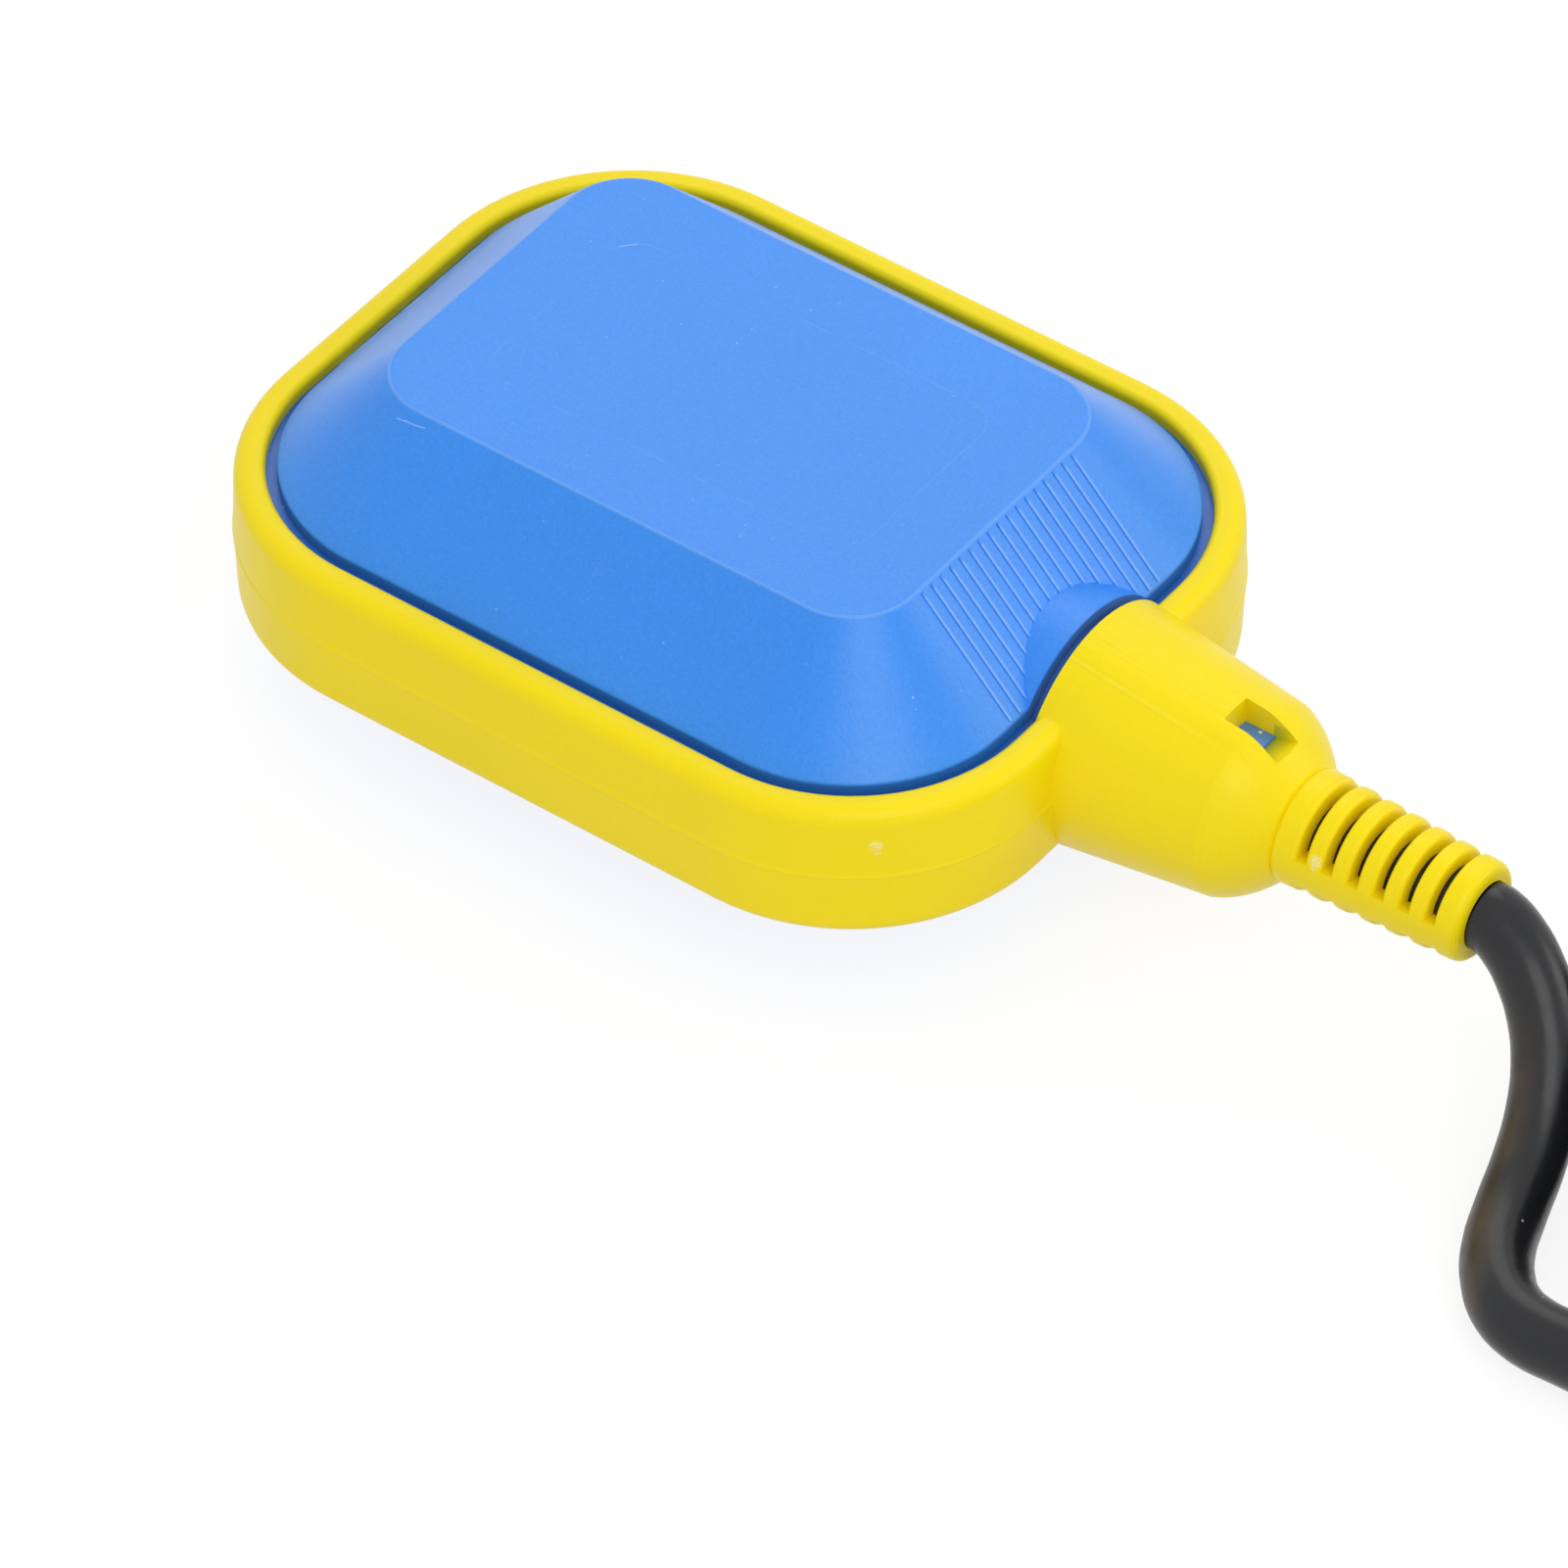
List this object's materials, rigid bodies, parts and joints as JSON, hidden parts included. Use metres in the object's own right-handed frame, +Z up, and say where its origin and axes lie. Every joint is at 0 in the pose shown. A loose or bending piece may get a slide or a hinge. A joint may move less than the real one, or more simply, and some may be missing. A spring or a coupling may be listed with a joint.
{
  "type": "cable float switch",
  "caption": "Tilt-type float switch: flat rounded sealed body of two half shells in a moulded band, with slotted strain relief, ball-operated microswitch and coiled lead.",
  "frame": {"origin": "centre of the lower flat face, on which the float lies", "axes": "+X along the body towards the lead, +Z up out of the upper flat face"},
  "size_m": [0.2842, 0.1199, 0.0436],
  "materials": {
    "band_yellow": "glossy moulded polypropylene",
    "shell_blue": "glossy moulded polypropylene",
    "lead_black": "smooth satin jacket",
    "core_black": "satin insulation",
    "core_brown": "satin insulation",
    "core_blue": "satin insulation",
    "seal_rubber": "matt rubber",
    "resin_grey": "cast resin",
    "cage_white": "moulded acetal",
    "case_black": "moulded phenolic",
    "cover_red": "moulded phenolic",
    "sleeve_clear": "translucent nylon sleeve",
    "steel": "bright steel",
    "ball_steel": "polished bearing steel",
    "brass": "stamped brass",
    "copper": "bare stranded copper",
    "tie_black": "nylon strap"
  },
  "bodies": {
    "float": {"overmould_band": "band_yellow", "upper_shell": "shell_blue", "lower_shell": "shell_blue", "ball_cage": "cage_white", "cage_lid": "cage_white", "cage_screws": "steel", "lid_screws": "steel", "switch_case": "case_black", "switch_cover": "cover_red", "switch_screws": "steel", "common_terminal": "brass", "open_terminal": "brass", "closed_terminal": "brass", "common_receptacle": "sleeve_clear", "open_receptacle": "sleeve_clear", "closed_receptacle": "sleeve_clear", "black_core": "core_black", "brown_core": "core_brown", "blue_core": "core_blue", "neck_grommet": "seal_rubber", "potting_plug": "resin_grey", "neck_cable": "lead_black", "cable": "lead_black", "cable_coil": "lead_black", "cable_tie": "tie_black", "black_tail": "core_black", "brown_tail": "core_brown", "blue_tail": "core_blue", "tail_strands": "copper"},
    "ball": {"steel_ball": "ball_steel"},
    "lever": {"switch_lever": "steel"},
    "plunger": {"switch_plunger": "cage_white"},
    "blade": {"snap_blade": "brass"}
  },
  "joints": [
    {"name": "ball_roll", "type": "slide", "parent": "float", "child": "ball", "axis": [1, 0, 0], "range_m": [0, 0.02]},
    {"name": "lever_swing", "type": "hinge", "parent": "float", "child": "lever", "pos_m": [-0.0007, -0.0145, 0.0218], "axis": [0, 0, -1], "range_deg": [0, 4.5], "stiffness_Nm_per_rad": 0.01},
    {"name": "plunger_press", "type": "slide", "parent": "float", "child": "plunger", "axis": [1, 0, 0], "range_m": [0, 0.00091]},
    {"name": "blade_snap", "type": "hinge", "parent": "float", "child": "blade", "pos_m": [0.0088, -0.0095, 0.0218], "axis": [0, 0, -1], "range_deg": [0, 2.3]}
  ],
  "couplings": [
    {"joint": "plunger_press", "follows": "lever_swing", "m_per_rad": 0.0115},
    {"joint": "blade_snap", "follows": "lever_swing", "ratio": 0.5}
  ]
}
